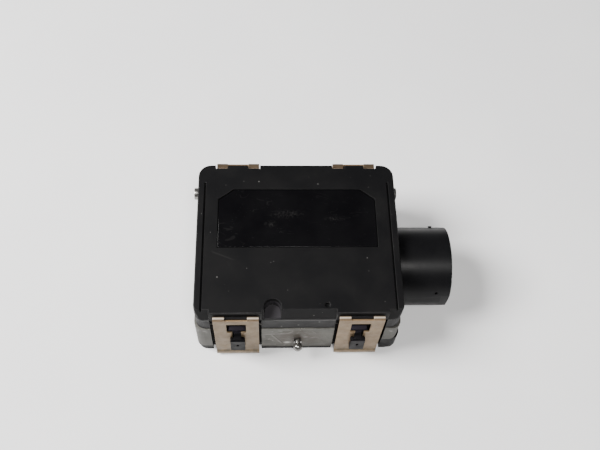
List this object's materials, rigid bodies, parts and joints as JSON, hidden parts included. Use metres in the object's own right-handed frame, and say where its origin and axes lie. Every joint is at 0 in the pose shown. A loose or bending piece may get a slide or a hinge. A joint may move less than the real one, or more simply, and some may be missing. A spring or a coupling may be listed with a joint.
{
  "type": "driving distance sensor",
  "caption": "Sealed vehicle distance sensor: black front cover with a window, cast housing, spring clips, round side connector, ball stud and pivot pins.",
  "frame": {"origin": "centre of the rear cover's flat outer face, under the middle of the box", "axes": "+X towards the electrical connector, +Y towards the back edge, +Z out of the front cover"},
  "size_m": [0.1274, 0.0924, 0.0465],
  "materials": {
    "cover_black": "fine matte",
    "window_black": "glossy, finely scratched",
    "frame_grey": "satin",
    "cast_aluminium": "as cast, worn",
    "rear_plastic": "satin",
    "spring_steel": "satin, bronze tint",
    "peg_plastic": "satin",
    "bright_steel": "polished",
    "screw_steel": "zinc plated",
    "seal_rubber": "matte",
    "board_green": "solder mask",
    "chip_black": "moulded",
    "tinned_shield": "tinned",
    "contact_gold": "gold plated",
    "pad_blue": "soft",
    "membrane_white": "matte"
  },
  "bodies": {
    "sensor_body": {"antenna_board": "board_green", "antenna_screw_back_left": "screw_steel", "antenna_screw_back_right": "screw_steel", "antenna_screw_front_left": "screw_steel", "antenna_screw_front_right": "screw_steel", "antenna_shield": "tinned_shield", "ball_stud": "bright_steel", "board_header": "chip_black", "board_screw_back_left": "screw_steel", "board_screw_back_right": "screw_steel", "board_screw_front_left": "screw_steel", "board_screw_front_right": "screw_steel", "breather_membrane": "membrane_white", "clip_peg_back_left": "peg_plastic", "clip_peg_back_right": "peg_plastic", "clip_peg_front_left": "peg_plastic", "clip_peg_front_right": "peg_plastic", "connector_gasket": "seal_rubber", "connector_shroud": "rear_plastic", "contact_1": "contact_gold", "contact_2": "contact_gold", "contact_3": "contact_gold", "contact_4": "contact_gold", "contact_5": "contact_gold", "contact_6": "contact_gold", "contact_7": "contact_gold", "contact_8": "contact_gold", "contact_carrier": "peg_plastic", "cover_seal": "seal_rubber", "front_cover": "cover_black", "lower_housing": "cast_aluminium", "processor_board": "board_green", "processor_chip": "chip_black", "radio_chip": "chip_black", "rear_cover": "rear_plastic", "rear_screw_back_left": "screw_steel", "rear_screw_back_right": "screw_steel", "rear_screw_front_left": "screw_steel", "rear_screw_front_right": "screw_steel", "side_pin_left": "bright_steel", "side_pin_right": "bright_steel", "thermal_pad": "pad_blue", "upper_frame": "frame_grey", "window_panel": "window_black"},
    "clip_back_left": {"spring_clip_back_left": "spring_steel"},
    "clip_back_right": {"spring_clip_back_right": "spring_steel"},
    "clip_front_left": {"spring_clip_front_left": "spring_steel"},
    "clip_front_right": {"spring_clip_front_right": "spring_steel"}
  },
  "joints": [
    {"name": "back_left_clip_tilt", "type": "hinge", "parent": "sensor_body", "child": "clip_back_left", "pos_m": [-0.0294, 0.0428, 0.0257], "axis": [-1, 0, 0], "range_deg": [0, 8], "stiffness_Nm_per_rad": 3},
    {"name": "back_right_clip_tilt", "type": "hinge", "parent": "sensor_body", "child": "clip_back_right", "pos_m": [0.0294, 0.0428, 0.0257], "axis": [-1, 0, 0], "range_deg": [0, 8], "stiffness_Nm_per_rad": 3},
    {"name": "front_left_clip_tilt", "type": "hinge", "parent": "sensor_body", "child": "clip_front_left", "pos_m": [-0.0294, -0.0428, 0.0257], "axis": [1, 0, 0], "range_deg": [0, 8], "stiffness_Nm_per_rad": 3},
    {"name": "front_right_clip_tilt", "type": "hinge", "parent": "sensor_body", "child": "clip_front_right", "pos_m": [0.0294, -0.0428, 0.0257], "axis": [1, 0, 0], "range_deg": [0, 8], "stiffness_Nm_per_rad": 3}
  ]
}
